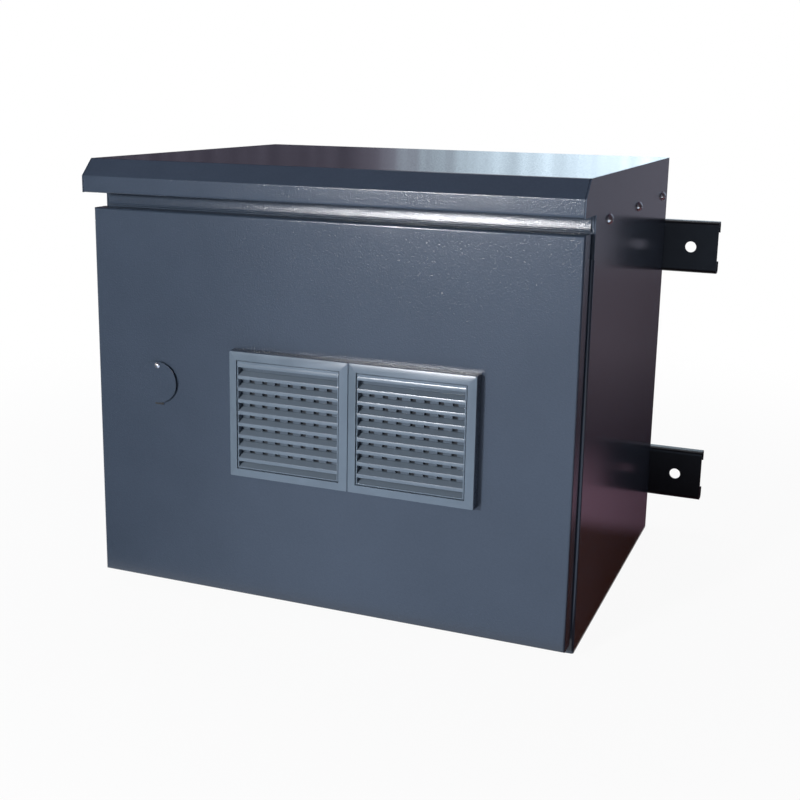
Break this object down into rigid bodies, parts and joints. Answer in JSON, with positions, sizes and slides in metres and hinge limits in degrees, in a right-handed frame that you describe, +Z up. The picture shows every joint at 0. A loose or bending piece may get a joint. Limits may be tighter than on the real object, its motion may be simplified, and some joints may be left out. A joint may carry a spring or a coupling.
{
  "type": "roadside utility cabinet",
  "caption": "Outdoor utility cabinet with a sloped rain hood, hinged door with louvred vents, quarter-turn lock with swing cover, inner equipment rack and rear wall rails.",
  "frame": {"origin": "middle of the base's underside, halfway between the front flange and the back panel", "axes": "+X to the right seen from the front, +Y to the back and the wall, +Z up"},
  "size_m": [0.744, 0.519, 0.53],
  "materials": {
    "powder_coat": "dark blue-grey satin powder coat with a fine structure",
    "black_paint": "semi-gloss black paint",
    "vent_plastic": "satin blue-grey moulded plastic",
    "zinc_steel": "bright zinc-plated steel",
    "seal_rubber": "matt black",
    "fan_plastic": "matt black moulded plastic",
    "filter_fibre": "dark fibre mat"
  },
  "bodies": {
    "cabinet": {"body_wrap": "powder_coat", "floor_pan": "powder_coat", "ceiling_pan": "powder_coat", "drip_rail": "powder_coat", "sealing_rim": "powder_coat", "rain_hood": "powder_coat", "hood_screws": "zinc_steel", "hood_nuts": "zinc_steel", "upper_wall_rail": "black_paint", "lower_wall_rail": "black_paint", "rail_bolts": "zinc_steel", "rail_nuts": "zinc_steel", "upper_hinge_arm": "zinc_steel", "lower_hinge_arm": "zinc_steel", "left_rack_post": "zinc_steel", "right_rack_post": "zinc_steel", "depth_rails": "zinc_steel", "rack_bolts": "zinc_steel", "gland_plate": "zinc_steel", "cable_grommets": "seal_rubber", "gland_screws": "zinc_steel", "earth_stud": "zinc_steel", "earth_nut": "zinc_steel"},
    "door": {"door_panel": "powder_coat", "door_gasket": "seal_rubber", "upper_hinge_leaf": "zinc_steel", "lower_hinge_leaf": "zinc_steel", "hinge_pins": "zinc_steel", "vent_surround": "powder_coat", "left_vent_frame": "vent_plastic", "right_vent_frame": "vent_plastic", "left_louvre": "vent_plastic", "right_louvre": "vent_plastic", "left_filter_mat": "filter_fibre", "right_filter_mat": "filter_fibre", "left_fan_frame": "fan_plastic", "right_fan_frame": "fan_plastic", "fan_screws": "zinc_steel", "lock_housing": "zinc_steel", "lock_nut": "zinc_steel", "cover_rivet": "zinc_steel", "cover_stop": "seal_rubber"},
    "lock": {"lock_spindle": "zinc_steel", "lock_cam": "zinc_steel", "cam_screw": "zinc_steel"},
    "cover": {"lock_cover": "powder_coat"},
    "left_fan": {"left_impeller": "fan_plastic"},
    "right_fan": {"right_impeller": "fan_plastic"}
  },
  "joints": [
    {"name": "door_hinge", "type": "hinge", "parent": "cabinet", "child": "door", "pos_m": [0.289, -0.243, 0.243], "axis": [0, 0, 1], "range_deg": [0, 110]},
    {"name": "lock_turn", "type": "hinge", "parent": "door", "child": "lock", "pos_m": [-0.2115, -0.243, 0.2675], "axis": [0, 1, 0], "range_deg": [0, 90]},
    {"name": "cover_swing", "type": "hinge", "parent": "door", "child": "cover", "pos_m": [-0.2115, -0.26015, 0.288], "axis": [0, 1, 0], "range_deg": [-120, 120]},
    {"name": "left_fan_spin", "type": "hinge", "parent": "door", "child": "left_fan", "pos_m": [-0.033, -0.24, 0.243], "axis": [0, 1, 0], "continuous": true},
    {"name": "right_fan_spin", "type": "hinge", "parent": "door", "child": "right_fan", "pos_m": [0.117, -0.24, 0.243], "axis": [0, 1, 0], "continuous": true}
  ]
}
